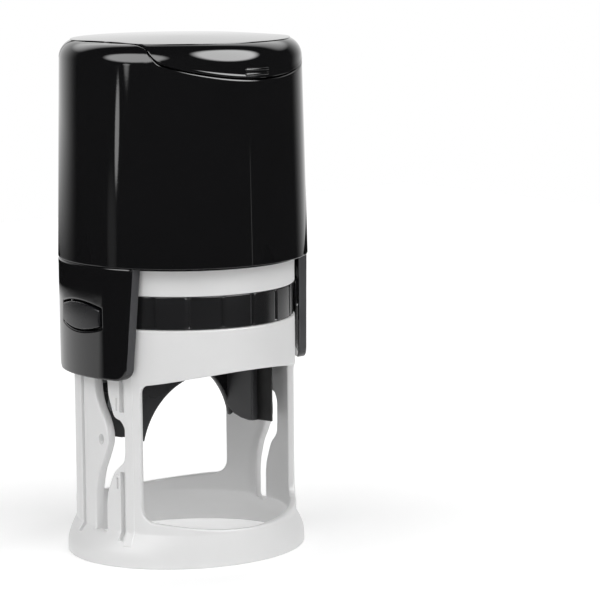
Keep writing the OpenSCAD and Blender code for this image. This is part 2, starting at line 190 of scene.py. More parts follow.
def plate(outline, holes, outer, inner, edge, step, reliefs=(), ring=False, rows=()):
    # a flat layout of loops and a grid, triangulated, then laid on an outer and an inner surface;
    # rims are quarter rounds of the given edge, reliefs are raised or sunk areas with sloped flanks,
    # and a ring is a sheet whose two ends meet, with rims along its top and foot only
    ins = np.append(edge * (1 - np.cos(roundTurns)), edge * layout["flatFrom"])
    drops = np.append(edge * (1 - np.sin(roundTurns)), 0.0)
    pts, drop, lift, segs = [], [], [], []

    def addLine(line, d, h, closed=True):
        n, start = len(line), sum(map(len, pts))
        k = np.arange(n if closed else n - 1)
        segs.append(np.stack([k, (k + 1) % n], 1) + start)
        pts.append(line)
        drop.append(np.full(n, d))
        lift.append(np.full(n, h))

    border = turn(outline)
    cuts = [turn(hole, False) for hole in holes]

    def inside(at):  # within the border, unless it's a ring, and outside every hole
        keep = np.ones(len(at), bool) if ring else within(at, border)
        for hole in cuts:
            keep &= ~within(at, hole)
        return keep

    for loop in cuts if ring else [border] + cuts:
        for a, d in zip(ins, drops):
            addLine(inset(loop, a), d, 0.0)
    lo, hi = np.min(outline, 0), np.max(outline, 0)
    if ring:
        u = np.linspace(lo[0], hi[0], int((hi[0] - lo[0]) / step) + 1)
        for v, sign in ((lo[1], 1), (hi[1], -1)):
            for a, d in zip(ins, drops):
                addLine(np.stack([u, np.full_like(u, v + sign * a)], 1), d, 0.0, False)
    tops = [(inset(turn(loop), flank), h) for loop, h, flank in reliefs]
    for (loop, _, _), (top, h) in zip(reliefs, tops):
        addLine(turn(loop), 0.0, 0.0)
        addLine(top, 0.0, h)
    us, vs = (np.linspace(lo[k], hi[k], max(2, int(round((hi[k] - lo[k]) / step))) + 1) for k in (0, 1))
    vs = np.unique(np.round(np.concatenate([vs, np.asarray(rows, float)]), 6))
    grid = np.stack(np.meshgrid(us, vs), -1).reshape(-1, 2)
    grid = grid[inside(grid)]
    if ring:
        off = edge * layout["gridFrom"]
        grid = grid[(grid[:, 1] > lo[1] + off) & (grid[:, 1] < hi[1] - off)]
    lines = np.vstack(pts)
    parts = np.array_split(grid, max(1, len(grid) * len(lines) // layout["batch"]))
    gap = np.concatenate([((part[:, None] - lines) ** 2).sum(2).min(1) for part in parts])
    keep = gap >= (layout["clear"] * step) ** 2
    if ring:
        keep |= (np.abs(grid[:, 0] - lo[0]) < tiny) | (np.abs(grid[:, 0] - hi[0]) < tiny)
    grid = grid[keep]
    gridLift = np.zeros(len(grid))
    for top, h in tops:
        gridLift[within(grid, top)] = h
    allDrop = np.concatenate(drop + [np.zeros(len(grid))])
    allLift = np.concatenate(lift + [gridLift])
    made = delaunay_2d_cdt([Vector(p) for p in np.vstack(pts + [grid]).tolist()], np.vstack(segs).tolist(),
                           [], 0, layout["snap"])
    flat = np.array([(v.x, v.y) for v in made[0]])
    source = np.array([o[0] if len(o) else -1 for o in made[3]])
    d, h = (np.where(source >= 0, values[source], 0.0) for values in (allDrop, allLift))
    tri = np.array([f for f in made[2] if len(f) == 3])
    tri = tri[inside(flat[tri].mean(1))]
    n = len(flat)
    points = np.vstack([outer(flat[:, 0], flat[:, 1], d - h), inner(flat[:, 0], flat[:, 1], d)])
    sides = np.sort(np.vstack([tri[:, [0, 1]], tri[:, [1, 2]], tri[:, [2, 0]]]), 1)
    rim, times = np.unique(sides, axis=0, return_counts=True)
    rim = rim[times == 1]
    if ring:
        ends = np.minimum(np.abs(flat[:, 0] - lo[0]), np.abs(flat[:, 0] - hi[0])) < layout["onEnd"]
        upright = np.abs(flat[rim[:, 0], 0] - flat[rim[:, 1], 0]) < layout["onEnd"]
        rim = rim[~(ends[rim].all(1) & upright)]
    walls = np.stack([rim[:, 0], rim[:, 1], rim[:, 1] + n, rim[:, 0] + n], 1)
    used = np.unique(np.concatenate([tri.ravel(), walls.ravel() % n]))
    both = np.concatenate([used, used + n])
    index = np.full(2 * n, -1)
    index[both] = np.arange(len(both))
    return points[both], index[tri].tolist() + index[tri[:, ::-1] + n].tolist() + index[walls].tolist()


# colours and materials

def linear(code):  # sRGB hex to linear RGBA
    s = np.array([int(code[i:i + 2], 16) for i in (1, 3, 5)]) / 255.0
    return tuple(np.where(s <= 0.04045, s / 12.92, ((s + 0.055) / 1.055) ** 2.4)) + (1.0,)


def addNode(tree, kind, settings=None, inputs=None):  # gives back the node's outputs
    node = tree.nodes.new("ShaderNode" + kind)
    for key, value in (settings or {}).items():
        setattr(node, key, value)
    for key, value in (inputs or {}).items():
        if isinstance(value, bpy.types.NodeSocket):
            tree.links.new(value, node.inputs[key])
        else:
            node.inputs[key].default_value = value
    return node.outputs


def emptyTree(owner):  # node tree of a material or world, cleared
    owner.use_nodes = True
    owner.node_tree.nodes.clear()
    return owner.node_tree


def perSize(size):  # noise scale for features of that size in mm
    return 1.0 / (size * mm)


bumps = {"wave": 0.2, "bump": 0.05}  # heights in mm at full strength
driftRange = (0.3, 0.7)  # where most of the noise lies


def moulded(name, look):
    # base colour drifts between two close tints, roughness drifts with it, and two bumps lie on top
    material = bpy.data.materials.new(name)
    tree = emptyTree(material)
    where = addNode(tree, "TexCoord")["Object"]
    drift, grain = (addNode(tree, "TexNoise", {}, {
        "Vector": where, "Scale": perSize(look[key]), "Detail": detail, "Roughness": fall})["Fac"]
        for key, detail, fall in (("drift", 3.0, 0.5), ("grain", 2.0, 0.6)))
    tint = addNode(tree, "Mix", {"data_type": "RGBA"},
                   {0: drift, 6: linear(look["tints"][0]), 7: linear(look["tints"][1])})[2]
    rough = addNode(tree, "MapRange", {},
                    {"Value": drift, "From Min": driftRange[0], "From Max": driftRange[1],
                     "To Min": look["rough"][0], "To Max": look["rough"][1]})["Result"]
    slow = addNode(tree, "Bump", {}, {"Height": drift, "Strength": look["wave"],
                                                "Distance": bumps["wave"] * mm})["Normal"]
    fine = addNode(tree, "Bump", {}, {"Height": grain, "Strength": look["bump"], "Normal": slow,
                                                "Distance": bumps["bump"] * mm})["Normal"]
    shader = addNode(tree, "BsdfPrincipled", {},
                     {"Base Color": tint, "Roughness": rough, "IOR": look.get("ior", 1.5), "Normal": fine,
                      "Metallic": look.get("metal", 0.0), "Sheen Weight": look.get("sheen", 0.0)})
    addNode(tree, "OutputMaterial", {}, {"Surface": shader["BSDF"]})
    return material


# drift and grain are sizes in mm; mould textures are finer than this, and are drawn as coarse as they show
finishes = {
    # white ABS from a lightly spark-eroded mould: soft broad sheen, a fine even grain
    "white_plastic": moulded("white ABS, satin moulded", {
        "tints": ("#e2e2e2", "#e7e7e7"), "rough": (0.4, 0.48), "drift": 9.0, "grain": 0.22,
        "wave": 0.05, "bump": 0.12}),
    # black ABS from a polished mould: deep black, sharp reflections that waver slightly
    "black_gloss": moulded("black ABS, polished moulded", {
        "tints": ("#111112", "#151516"), "rough": (0.02, 0.035), "drift": 14.0, "grain": 0.5,
        "wave": 0.02, "bump": 0.01, "ior": 1.55}),
    # black ABS from an eroded mould: reflections spread into a dull sheen
    "black_satin": moulded("black ABS, satin moulded", {
        "tints": ("#0f0f11", "#131316"), "rough": (0.25, 0.3), "drift": 8.0, "grain": 0.25,
        "wave": 0.02, "bump": 0.08}),
    # black ABS from a fine-stoned mould: bright, with reflections a little softer than polish
    "black_bright": moulded("black ABS, stoned moulded", {
        "tints": ("#1b1b1c", "#202021"), "rough": (0.17, 0.23), "drift": 10.0, "grain": 0.3,
        "wave": 0.03, "bump": 0.03, "ior": 1.55}),
    # black ABS, rough and lighter grey: painted light for faces that catch the lamps, the legs' front and
    # rear edges and the holder's cheeks
    "black_painted_lit": moulded("black ABS, painted lit face", {
        "tints": ("#2b2b2d", "#333335"), "rough": (0.42, 0.52), "drift": 6.0, "grain": 0.2,
        "wave": 0.04, "bump": 0.12}),
    # black ABS in the holder's recess, darker and duller than the rest: painted shade for the recess, with
    # hardly any shine
    "black_painted_shade": moulded("black ABS, painted shade", {
        "tints": ("#0a0a0a", "#0e0e0e"), "rough": (0.6, 0.7), "drift": 5.0, "grain": 0.25,
        "wave": 0.05, "bump": 0.15}),
    # drawn spring wire and turned pins: bright, with fine drawing lines seen as a soft gloss
    "steel": moulded("steel, drawn and turned", {
        "tints": ("#b4b7ba", "#c3c5c7"), "rough": (0.2, 0.3), "drift": 3.0, "grain": 0.15,
        "wave": 0.05, "bump": 0.15, "metal": 1.0}),
    # uncoated index card: matt, with the mottle of pressed fibres
    "card": moulded("card, uncoated", {
        "tints": ("#eeeade", "#f6f3ea"), "rough": (0.82, 0.92), "drift": 1.6, "grain": 0.12,
        "wave": 0.2, "bump": 0.35}),
    # closed-cell foam: matt grey, pitted by cut cells
    "foam": moulded("foam, closed cell", {
        "tints": ("#4c4f53", "#60646a"), "rough": (0.85, 0.95), "drift": 0.7, "grain": 0.3,
        "wave": 0.7, "bump": 0.6}),
    # laser-engraved rubber: dull red with a faint bloom
    "die_rubber": moulded("rubber, laser engraved", {
        "tints": ("#6d332d", "#7f413a"), "rough": (0.55, 0.7), "drift": 2.5, "grain": 0.2,
        "wave": 0.12, "bump": 0.3, "sheen": 0.15}),
    # ink-soaked felt: near black, wet between matted fibres
    "ink_felt": moulded("felt, ink soaked", {
        "tints": ("#17171d", "#24242d"), "rough": (0.5, 0.75), "drift": 1.2, "grain": 0.18,
        "wave": 0.5, "bump": 0.7, "sheen": 0.3}),
}
print("materials:", len(finishes))


# cap and lid

cap = {"rimZ": 62.31, "rimR": 26.15, "rimRound": 0.12, "topR": 25.25, "topZ": 107.6, "shoulder": 4.0,
       "wall": 1.6, "seatTilt": 68.0, "seatRise": 0.2, "seamGap": 0.26, "seamRound": 0.3, "support": 0.1,
       "ceilingZ": 99.5, "lipRows": (0.35, 0.7, 1.0), "bossR": 16.0, "bossZ": 104.0, "bossRound": (0.4, 0.12),
       "pocketR": 8.0, "pocketZ": 103.1, "underZ": 97.51, "underRound": (1.0, 0.3), "footRound": 0.3,
       "turnSteps": 320, "wallRows": 60, "roundRows": 60, "seatRows": 30, "faceRows": 120}
lid = {"twist": 4.6, "creaseTilt": 66.0, "step": 0.2, "rise": 0.5, "bend": 1.6, "thick": 1.45,
       # the bead's height and reach, and the degrees from the tongue's middle over which it fades
       "bead": (0.06, 0.32), "beadEnds": (40.0, 56.0),
       # the step's round: how far in and how far below the step's top
       "stepRound": ((0.02, 0.04), (0.06, 0.005), (0.16, 0.0)),
       "creaseRows": (0.0, 0.04, 0.08, 0.12, 0.2, 0.35), "creaseGap": 0.05,
       "faceRows": 70, "topRows": 60, "underRows": 30, "seamRows": 900, "sharp": 30,
       # degrees from the tongue's middle, and the seam's height on wall and shoulder
       "low": ((0, 100.07), (15, 100.42), (30, 101.3), (41, 102.25), (48.7, 103.07), (51.7, 103.63),
               (54.1, 104.61), (56.8, 105.89), (58.7, 106.75), (61.2, 107.11)),
       # further round, and the seam's radius on the top
       "high": ((68.7, 22.09), (76, 20.85), (84, 20.25), (90, 20.15))}


def wallAndRound(tilt):
    # straight wall from rim to shoulder, then a round until the surface leans back by the tilt
    z0, r0 = cap["topZ"] - cap["shoulder"], cap["topR"] - cap["shoulder"]
    wallZ = np.linspace(cap["rimZ"], z0, cap["wallRows"])[:-1]
    wallR = cap["rimR"] + (cap["topR"] - cap["rimR"]) * (wallZ - cap["rimZ"]) / (z0 - cap["rimZ"])
    a = np.radians(np.linspace(0, tilt, cap["roundRows"]))
    return (np.concatenate([wallR, r0 + cap["shoulder"] * np.cos(a)]),
            np.concatenate([wallZ, z0 + cap["shoulder"] * np.sin(a)]))


def withLength(r, z):  # outline with the length from the rim to each of its points
    return r, z, np.concatenate([[0], np.cumsum(np.hypot(np.diff(r), np.diff(z)))])


def shellOutline():
    # wall and round up to the seat's tilt, then nearly level to the middle
    r, z = wallAndRound(cap["seatTilt"])
    inR = np.linspace(r[-1], 0, cap["seatRows"])[1:]
    seat = z[-1] + cap["seatRise"] * (1 - inR / r[-1])
    return withLength(np.concatenate([r, inR]), np.concatenate([z, seat]))


def lidOutline():
    # wall and round up to the crease, a small step, then a top that rises by a power of the radius
    r, z = wallAndRound(lid["creaseTilt"])
    edgeR, edgeZ = r[-1], z[-1] + lid["step"]
    away, below = np.array(lid["stepRound"]).T
    inR = np.linspace(edgeR - away[-1], 0, lid["topRows"])
    top = edgeZ + lid["rise"] * (1 - (inR / edgeR) ** lid["bend"])
    return withLength(np.concatenate([r, edgeR - away[:-1], inR]),
                      np.concatenate([z, edgeZ - below[:-1], top]))


shell, lidTop = shellOutline(), lidOutline()
capAngles = np.linspace(-math.pi, math.pi, cap["turnSteps"], endpoint=False)
probe = 0.05  # half the length over which an outline's slope is taken


def onOutline(line, s, depth=0.0):
    # point at length s along the outline, moved inwards along its normal by depth
    lineR, lineZ, lineS = line
    r, z = np.interp(s, lineS, lineR), np.interp(s, lineS, lineZ)
    dr = np.interp(s + probe, lineS, lineR) - np.interp(s - probe, lineS, lineR)
    dz = np.interp(s + probe, lineS, lineZ) - np.interp(s - probe, lineS, lineZ)
    size = np.maximum(np.hypot(dr, dz), tiny)
    return r - depth * dz / size, z + depth * dr / size


def onWall(z):  # outer radius at a height on the cap's wall
    return np.interp(z, shell[1][:cap["wallRows"]], shell[0][:cap["wallRows"]])


def fromTongue(angles):  # degrees from the tongue's middle, either way
    return np.degrees(np.abs((angles - math.radians(lid["twist"]) + math.pi) % (2 * math.pi) - math.pi))


def seamLength(angles):
    # length along the shell's outline of a smooth line through the listed places, alike on all four quarters
    lowDeg, lowZ = np.array(lid["low"], float).T
    highDeg, highR = np.array(lid["high"], float).T
    s = np.concatenate([np.interp(lowZ, shell[1], shell[2]),
                        np.interp(-highR, -shell[0], shell[2])])
    deg = np.concatenate([lowDeg, highDeg])
    line = through(np.stack([np.concatenate([-deg[2:0:-1], deg, 180 - deg[-2:-4:-1]]),
                             np.concatenate([s[2:0:-1], s, s[-2:-4:-1]])], 1), lid["seamRows"])
    off = fromTongue(angles)
    return np.interp(np.minimum(off, 180 - off), np.maximum.accumulate(line[:, 0]), line[:, 1])


def buildCap():
    # rows of rings: rim, outer wall up to the seam, lip, ceiling with its boss,
    # then the underside back to the rim
    one = np.ones_like(capAngles)
    end = seamLength(capAngles) - cap["seamGap"] / 2
    edge, soft, near = cap["rimRound"], cap["seamRound"], cap["support"]
    rows = [((cap["rimR"] - edge + edge * math.sin(t)) * one, (cap["rimZ"] + edge - edge * math.cos(t)) * one)
            for t in roundTurns]
    for t in np.linspace(0.0, 1.0, cap["faceRows"]):
        rows.append(onOutline(shell, edge + near + (end - soft - near - edge - near) * t))
    for t in roundTurns:
        rows.append(onOutline(shell, end - soft * (1 - math.sin(t)), soft * (1 - math.cos(t))))
    lipR, lipZ = onOutline(shell, end, cap["wall"])
    rows.append((lipR, lipZ))
    inR = onWall(cap["ceilingZ"]) - cap["wall"]
    for t in cap["lipRows"]:
        rows.append((lipR + (inR - lipR) * t, lipZ + (cap["ceilingZ"] - lipZ) * t))
    boss, bossZ, floorZ = cap["bossR"], cap["bossZ"], cap["ceilingZ"]
    wide, mid = cap["bossRound"]
    for r, z in ((boss + wide, floorZ), (boss, floorZ + wide), (boss, bossZ - wide),
                 (boss - mid, bossZ - mid), (boss - wide, bossZ), (0.0, bossZ)):
        rows.append((r * one, z * one))
    pole = len(rows) - 1
    under, (wide, mid), foot = cap["underZ"], cap["underRound"], cap["footRound"]
    wallIn, rimIn = onWall(under) - cap["wall"], cap["rimR"] - cap["wall"]
    for r, z in ((0.0, cap["pocketZ"]), (cap["pocketR"], cap["pocketZ"]), (cap["pocketR"], under),
                 (wallIn - wide, under), (wallIn - mid, under - mid), (wallIn, under - wide),
                 (rimIn, cap["rimZ"] + foot), (rimIn + foot, cap["rimZ"])):
        rows.append((r * one, z * one))
    r, z = np.array(rows).swapaxes(0, 1)
    meshPiece("capShell", (turned(r, z, capAngles), gridFaces(len(rows), len(one), True, (pole,))),
              "cap", "black_gloss", ("cap_shell",))


def buildLid():
    # rows of rings from the seam's edge over the crease to the middle, then the underside back to the seam
    seamR = np.interp(seamLength(capAngles), shell[2], shell[0])
    start = np.interp(-seamR, -lidTop[0], lidTop[2]) + cap["seamGap"] / 2
    total, thick, soft = lidTop[2][-1], lid["thick"], cap["seamRound"]
    rows = [onOutline(lidTop, start, thick)]
    # the tongue's edge rolls outwards a little, which draws a light line above the seam
    bead, reach = lid["bead"]
    near, far = lid["beadEnds"]
    bead = bead * (1 - smoothStep((fromTongue(capAngles) - near) / (far - near)))
    for t in roundTurns[::-1]:
        rows.append(onOutline(lidTop, start + soft * (1 - math.sin(t)), soft * (1 - math.cos(t)) - bead))
    face = start + soft + cap["support"]
    crease = lidTop[2][cap["wallRows"] + cap["roundRows"] - 2]  # length at the last point of the round
    for t in np.linspace(0, 1, lid["faceRows"]):
        s = (np.maximum(crease - lid["creaseGap"], face) - face) * t
        rows.append(onOutline(lidTop, face + s, -bead * (1 - smoothStep(s / reach))))
    for s in lid["creaseRows"]:  # the crease's step, which the sides don't reach
        rows.append(onOutline(lidTop, np.maximum(crease + s, face)))
    rise = np.maximum(crease + lid["creaseRows"][-1], face)
    for t in np.linspace(0, 1, lid["topRows"])[1:]:
        rows.append(onOutline(lidTop, rise + (total - rise) * t))
    pole = len(rows) - 1
    for t in np.linspace(1, 0, lid["underRows"]):
        rows.append(onOutline(lidTop, start + (total - start) * t, thick))
    r, z = np.array(rows).swapaxes(0, 1)
    r = np.maximum(r, 0.0)
    r[pole:pole + 2] = 0.0
    meshPiece("capLid", (turned(r, z, capAngles), gridFaces(len(rows), len(capAngles), False, (pole,))),
              "lid", "black_gloss", ("cap_lid",), sharp=lid["sharp"])


grips = {"x": (-2.55, 3.55), "z": {"A": 102.06, "B": 101.12}, "radius": 0.34, "sink": 0.06, "crowd": 1.6,
         "rows": 60, "sides": 20}


def buildGrips():
    # round bars bent to the cap's radius, with ball ends: radius shrinks as a half circle at each end
    x0, x1 = grips["x"]
    half = (x1 - x0) / 2
    t = np.linspace(-1, 1, grips["rows"])
    along = half * np.sign(t) * (1 - (1 - np.abs(t)) ** grips["crowd"])
    left = np.maximum(np.abs(along) - (half - grips["radius"]), 0)
    size = np.sqrt(np.maximum(grips["radius"] ** 2 - left ** 2, 0))[:, None]
    phi = np.linspace(0, 2 * math.pi, grips["sides"], endpoint=False)
    a = (((x0 + x1) / 2 + along) / cap["topR"])[:, None]
    for letter, z in grips["z"].items():
        points = turned(onWall(z) - grips["sink"] + size * np.cos(phi), z + size * np.sin(phi), a)
        meshPiece("lidGrip" + letter, (points, gridFaces(grips["rows"], grips["sides"])),
                  "lid", "black_gloss")


buildCap()
buildLid()
buildGrips()
print("cap and lid made")


# legs and lock buttons

# front and rear are y at the foot and at the rim; faces that look this far to front or rear,
# beyond this y, get a lighter grey that paints the lamps' light on them
leg = {"front": (-11.4, -13.1), "rear": (13.0, 14.0), "low": 39.0, "high": 62.24,
       "corners": (2.6, 2.6, 0.2, 0.2), "cornerRows": 24, "inR": 24.2, "outR": 26.15, "edge": 0.35,
       "step": 0.8, "litFaces": (0.9, 10.5),
       "sleeveR": (23.54, 24.15), "sleeveZ": (61.7, 69.8), "sleeveRound": 0.2, "sleeveSteps": 180}
button = {"half": 6.9, "y": 1.3, "height": 5.6, "z": 51.61, "sag": 1.1, "gap": 0.36, "outR": 26.4,
          "inR": 24.65, "edge": 0.25, "step": 0.5, "crown": 0.1, "arcRows": 40, "arcStep": 0.4,
          # plate that closes the gap round the button from behind
          "backR": (23.54, 23.7), "backY": (-8.6, 13.6), "backZ": (47.2, 56.0), "backRound": 0.5,
          "backRows": 6, "backEdge": 0.05}


def lensOutline(grow):
    # two arcs that meet blunt ends: the height falls off with the square of the distance from the middle
    h, w = button["height"] / 2 + grow, button["half"] + grow
    y = np.linspace(-w, w, button["arcRows"])
    arc = h - button["sag"] * (y / w) ** 2
    line = np.concatenate([np.stack([y, arc], 1), np.stack([y[::-1], -arc[::-1]], 1)])
    return even(line + (button["y"], button["z"]), button["arcStep"])


def onSide(side, radius, sign, crown=0.0):
    def lay(y, z, d):  # cylinder on one side, crowned by a parabola over the button's height
        r = radius + sign * d - crown * ((z - button["z"]) / button["height"] * 2) ** 2
        return np.stack([side * np.sqrt(r * r - y * y), y, z], 1)
    return lay


def markLitFaces(mesh):
    # the upright edges of a leg get a lighter grey, painted light where they face front or rear, by where
    # each face looks and lies
    mesh.materials.append(finishes["black_painted_lit"])
    way, spot = np.empty((2, len(mesh.polygons) * 3))
    mesh.polygons.foreach_get("normal", way)
    mesh.polygons.foreach_get("center", spot)
    facing, beyond = leg["litFaces"]
    edges = (np.abs(way[1::3]) > facing) & (np.abs(spot[1::3]) > beyond * mm)
    mesh.polygons.foreach_set("material_index", edges.astype(np.int32))


def buildLegs():
    # each leg, button and back plate is a flat outline of y and z laid on cylinders
    (frontLow, frontHigh), (rearLow, rearHigh) = leg["front"], leg["rear"]
    low, high, step = leg["low"], leg["high"], leg["step"]
    corners = [(frontLow, low), (rearLow, low), (rearHigh, high), (frontHigh, high)]
    shape = even(rounded(corners, leg["corners"], leg["cornerRows"]), step)
    behind = box(button["backY"], button["backZ"], button["backRound"], button["backRows"], step)
    for side, word in bothSides:
        turnBy = (-side, 1)
        piece = meshPiece("leg" + word, plate(
            shape * turnBy, [lensOutline(button["gap"])], onSide(side, leg["outR"], -1),
            onSide(side, leg["inR"], 1), leg["edge"], step),
            "cap", "black_gloss", ("cap_sleeve",) if side < 0 else ())
        markLitFaces(piece.data)
        backIn, backOut = button["backR"]
        meshPiece("legBack" + word, plate(
            behind * turnBy, [], onSide(side, backOut, -1), onSide(side, backIn, 1),
            button["backEdge"], step), "cap", "black_satin")
        meshPiece("lockButton" + word, plate(
            lensOutline(0.0), [], onSide(side, button["outR"], -1, button["crown"]),
            onSide(side, button["inR"], 1), button["edge"], button["step"]),
            "button_" + word.lower(), "black_satin", ("lock_button_" + word.lower(),))
    (r0, r1), (z0, z1), soft, steps = leg["sleeveR"], leg["sleeveZ"], leg["sleeveRound"], leg["sleeveSteps"]
    loop = np.array([(r0, z0), (r1, z0), (r1, z1 - soft), (r1 - soft, z1), (r0 + soft, z1), (r0, z1 - soft)])
    a = np.linspace(-math.pi, math.pi, steps, endpoint=False)
    r, z = np.repeat(loop.T[:, :, None], steps, 2)
    meshPiece("capSleeve", (turned(r, z, a), gridFaces(len(loop), steps, True)), "cap", "black_satin")


buildLegs()
print("legs and buttons made")


# base frame

base = {"outR": 23.35, "wall": 1.5, "top": 63.5, "edge": 0.35, "step": 0.85, "seamAt": 100.0, "loopStep": 0.7,
        # flare: half axes of the foot, where it begins and ends, and closer rows from below it to above it
        "footX": 26.0, "footY": 23.45, "footEdge": 1.8, "flareZ": 6.9, "flareRows": (-0.6, 0.3, 18),
        # front and rear window: middle in degrees, height of the sill, half width in degrees
        "windows": ((0, 7.45, 60.0), (-180, 8.9, 60.5)), "sillR": 95.0, "crown": 40.41, "crownR": 77.0,
        "windowRows": 61, "cornerSkip": (4, 6), "lowCorner": 3.0, "highCorner": 1.8, "cornerRows": 12,
        "padHalf": 65.0, "padZ": (49.41, 56.31), "padCorner": 0.4, "padRows": 8,
        # how far back the left and right slots' front and rear edges move, and where the inside follows them
        "frontMoves": (-0.55, 3.4), "rearMoves": (-0.55, 2.8), "slotRows": 80, "slotStep": 0.6,
        "slotLean": 0.2, "slotRib": 0.6, "slotReach": 3.0, "slotAhead": 0.6, "slotEnds": 1.0, "slotSide": 0.8,
        # strips on each column: range of y, range of z, how far they stand out
        "strips": (((4.2, 5.6), (5.2, 45.0), -1.0), ((5.65, 8.8), (5.2, 45.0), 0.1),
                   ((-8.3, -7.2), (32.0, 45.0), -1.1), ((-8.3, -7.2), (5.2, 19.6), -1.1),
                   ((-10.2, -8.4), (4.4, 45.0), 0.1),
                   ((-6.9, -5.8), (35.2, 35.75), 0.12), ((-6.7, -6.2), (32.3, 35.0), -0.4),
                   ((-6.9, -5.8), (18.5, 19.0), 0.12), ((-6.7, -6.2), (15.9, 18.3), -0.4)),
        "stripRound": 0.15, "stripRows": 5, "stripStep": 0.8, "stripFlank": 0.1,
        # dimple beside the left slot: y, z, half width, half height, depth, flank
        "dimple": (-2.1, 25.8, 0.8, 1.15, 1.1, 0.3), "dimpleSteps": 28}

# edges of a cam slot from its foot up: y and z
slotFront = ((-2.8, 6.5), (-2.8, 10), (-2.86, 13.0), (-3.23, 15.1), (-3.58, 16.1), (-4.24, 17.75),
             (-5.17, 19.5), (-6.3, 20.55), (-7.45, 21.9), (-7.65, 23.2), (-7.7, 26.6), (-7.6, 28.85),
             (-7.2, 29.6), (-6.6, 30.3), (-5.9, 30.5), (-5.3, 30.9), (-4.45, 33.0), (-3.75, 35.2),
             (-3.5, 37.9), (-3.4, 44))
slotRear = ((0.65, 6.5), (0.65, 10), (0.62, 12.5), (0.5, 14.1), (0.05, 16.4), (-0.75, 19.1), (-1.89, 21.3),
            (-2.97, 23.7), (-3.49, 25.2), (-3.55, 26.8), (-3.25, 28.3), (-2.31, 30.5), (-0.97, 32.6),
            (-0.09, 34.7), (0.33, 37.4), (0.45, 44))


def alongTube(degrees):  # length round the tube
    return np.radians(degrees) * base["outR"]


def toTube(y, side):  # place round the tube of a point at depth y on that side
    deg = side * (90 + np.degrees(np.arcsin(np.asarray(y, float) / base["outR"])))
    return alongTube(np.where(deg > base["seamAt"], deg - 360, deg))


def flare(u, z):
    # how far the foot stands out: its outline is an ellipse, and it eases in by a quarter cosine
    a = u / base["outR"]
    foot = 1 / np.sqrt((np.sin(a) / base["footX"]) ** 2 + (np.cos(a) / base["footY"]) ** 2)
    t = np.clip((z - base["footEdge"]) / (base["flareZ"] - base["footEdge"]), 0, 1)
    return (foot - base["outR"]) * np.cos(math.pi / 2 * t)


def frameOuter(u, z, d):  # cylinder with the flare added
    return turned(base["outR"] + flare(u, z) - d, z, u / base["outR"])


def frameInner(u, z, d):
    # the outer surface less the wall; behind each slot it leans to the front and thickens into a rib,
    # both fading out by a smooth step
    r = base["outR"] - base["wall"] + flare(u, z) + d
    a = u / base["outR"]
    rearY, rearZ = np.array(slotRear, float).T
    for (side, _), shift in zip(bothSides, base["rearMoves"]):
        away = -base["outR"] * np.cos(a) - np.interp(z, rearZ, rearY) - shift
        near = (side * np.sin(a) > base["slotSide"]) & (away > -base["slotAhead"])
        near &= (z > rearZ[0] - base["slotEnds"]) & (z < rearZ[-1] + base["slotEnds"])
        share = np.where(near, 1 - smoothStep(np.maximum(away, 0) / base["slotReach"]), 0.0)
        a = a - side * base["slotLean"] * share / base["outR"]
        r = r - base["slotRib"] * share
    return turned(r, z, a)


def windowLoop(middle, sill, half):
    # sill and arch are arcs of large circles, the uprights are straight, with rounds in the corners
    rows = base["windowRows"]
    deg = np.linspace(half, -half, rows)
    x = base["outR"] * np.sin(np.radians(deg))
    arch = base["crown"] - base["crownR"] + np.sqrt(base["crownR"] ** 2 - x * x)
    floor = sill + base["sillR"] - np.sqrt(base["sillR"] ** 2 - x * x)
    u = alongTube(deg)
    high, low = np.stack([u, arch], 1), np.stack([u, floor], 1)[::-1]
    # points next to the corners are left out, which makes room for the rounds
    keepHigh, keepLow = (np.r_[0, skip:rows - skip, rows - 1] for skip in base["cornerSkip"])
    corners = np.concatenate([high[keepHigh], low[keepLow]])
    radii = np.zeros(len(corners))
    radii[[0, len(keepHigh) - 1]] = base["highCorner"]
    radii[[len(keepHigh), -1]] = base["lowCorner"]
    return even(rounded(corners, radii, base["cornerRows"]) + (alongTube(middle), 0), base["loopStep"])


def slotLoop(side):
    # smooth lines through the slot's two edges, joined and laid round the tube
    front = through(slotFront, base["slotRows"]) + (base["frontMoves"][side > 0], 0)
    rear = through(slotRear, base["slotRows"]) + (base["rearMoves"][side > 0], 0)
    y, z = np.vstack([front, rear[::-1]]).T
    return even(np.stack([toTube(y, side), z], 1), base["slotStep"])


def dimpleLoop(side):  # ellipse beside the slot
    y, z, wide, tall = base["dimple"][:4]
    t = np.linspace(0, 2 * math.pi, base["dimpleSteps"], endpoint=False)
    return np.stack([toTube(y + wide * np.cos(t), side), z + tall * np.sin(t)], 1)


def buildBase():
    # the tube unrolled from seam to seam, with windows, the tray's opening and cam slots cut out of it
    outline = np.array([(alongTube(base["seamAt"] - 360), 0.0), (alongTube(base["seamAt"]), base["top"])])
    w = alongTube(base["padHalf"])
    holes = [windowLoop(*values) for values in base["windows"]]
    holes.append(box((-w, w), base["padZ"], base["padCorner"], base["padRows"], base["loopStep"]))
    reliefs = []
    for side, _ in bothSides:
        holes.append(slotLoop(side))
        for y, z, lift in base["strips"]:
            strip = box(toTube(y, side), z, base["stripRound"], base["stripRows"], base["stripStep"])
            reliefs.append((strip, lift, base["stripFlank"]))
    reliefs.append((dimpleLoop(-1), -base["dimple"][4], base["dimple"][5]))
    below, above, count = base["flareRows"]
    rows = np.linspace(base["footEdge"] + below, base["flareZ"] + above, count)
    meshPiece("baseFrame", plate(
        outline, holes, frameOuter, frameInner, base["edge"], base["step"], reliefs, True, rows),
        "base", "white_plastic", ("base_frame",))


buildBase()
print("base frame made")


# ink tray and pad

